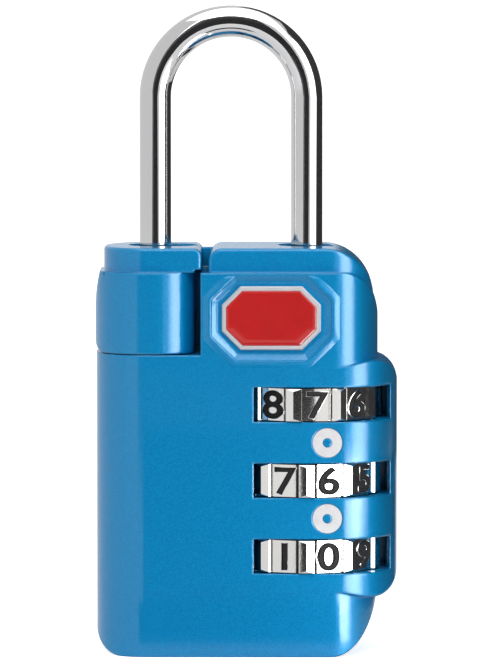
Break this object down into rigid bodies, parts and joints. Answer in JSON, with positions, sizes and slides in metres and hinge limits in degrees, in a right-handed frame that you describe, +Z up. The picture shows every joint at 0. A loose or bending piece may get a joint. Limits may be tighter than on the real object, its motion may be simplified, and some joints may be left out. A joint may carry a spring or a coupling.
{
  "type": "combination padlock",
  "caption": "Small travel padlock with number dials on one edge, a sliding release block round one shackle leg and an override key cylinder under it.",
  "frame": {"origin": "centre of the whole lock's bounding box, on the plane it stands on", "axes": "+X to the side the dials swell out on, -Y out of the front that shows the dials, +Z up through the shackle"},
  "size_m": [0.0302, 0.0164, 0.0645],
  "materials": {
    "body_paint": "metallic blue lacquer over zinc die casting",
    "shackle_chrome": "bright chrome plate over hardened steel bar",
    "dial_chrome": "bright chrome plate over zinc die casting, digits filled black",
    "hub_brass": "machined",
    "key_brass": "machined, satin",
    "plated_steel": "zinc plated, stamped",
    "spring_steel": "drawn wire or strip",
    "badge_metal": "stamped and polished",
    "badge_enamel": "poured red resin, glossy",
    "index_white": "white paint, semi gloss"
  },
  "bodies": {
    "body": {"body_shell": "body_paint", "back_cover": "body_paint", "cover_screws": "plated_steel", "key_sleeve": "key_brass", "badge_plate": "badge_metal", "badge_enamel": "badge_enamel", "index_ring_upper": "index_white", "index_ring_lower": "index_white", "detent_leaf_upper": "spring_steel", "detent_leaf_middle": "spring_steel", "detent_leaf_lower": "spring_steel", "shackle_spring": "spring_steel", "slider_spring": "spring_steel"},
    "shackle": {"shackle": "shackle_chrome", "retaining_ring": "plated_steel"},
    "slider": {"release_block": "body_paint", "coupler": "plated_steel", "locking_comb": "plated_steel", "catch_spring": "spring_steel"},
    "catch": {"catch_bolt": "plated_steel"},
    "key": {"key_plug": "key_brass", "key_wafers": "key_brass", "plug_washer": "plated_steel", "key_cam": "plated_steel"},
    "dial_upper": {"dial_upper": "dial_chrome", "hub_upper": "hub_brass"},
    "dial_middle": {"dial_middle": "dial_chrome", "hub_middle": "hub_brass"},
    "dial_lower": {"dial_lower": "dial_chrome", "hub_lower": "hub_brass"}
  },
  "joints": [
    {"name": "shackle_lift", "type": "slide", "parent": "body", "child": "shackle", "axis": [0, 0, 1], "range_m": [0, 0.0066], "deforming": ["shackle_spring"]},
    {"name": "dial_upper_turn", "type": "hinge", "parent": "body", "child": "dial_upper", "pos_m": [0.006, -0.0005, 0.02515], "axis": [0, 0, 1], "continuous": true, "deforming": ["detent_leaf_upper"]},
    {"name": "dial_middle_turn", "type": "hinge", "parent": "body", "child": "dial_middle", "pos_m": [0.006, -0.0005, 0.0176], "axis": [0, 0, 1], "continuous": true, "deforming": ["detent_leaf_middle"]},
    {"name": "dial_lower_turn", "type": "hinge", "parent": "body", "child": "dial_lower", "pos_m": [0.006, -0.0005, 0.01005], "axis": [0, 0, 1], "continuous": true, "deforming": ["detent_leaf_lower"]},
    {"name": "block_slide", "type": "slide", "parent": "body", "child": "slider", "axis": [-1, 0, 0], "range_m": [0, 0.0024], "stiffness_N_per_m": 300, "springref_m": -0.002, "deforming": ["slider_spring"]},
    {"name": "catch_throw", "type": "slide", "parent": "slider", "child": "catch", "axis": [1, 0, 0], "range_m": [0, 0.001], "deforming": ["catch_spring"]},
    {"name": "key_turn", "type": "hinge", "parent": "body", "child": "key", "pos_m": [-0.0094, -0.0009, 0], "axis": [0, 0, 1], "range_deg": [0, 90]}
  ]
}
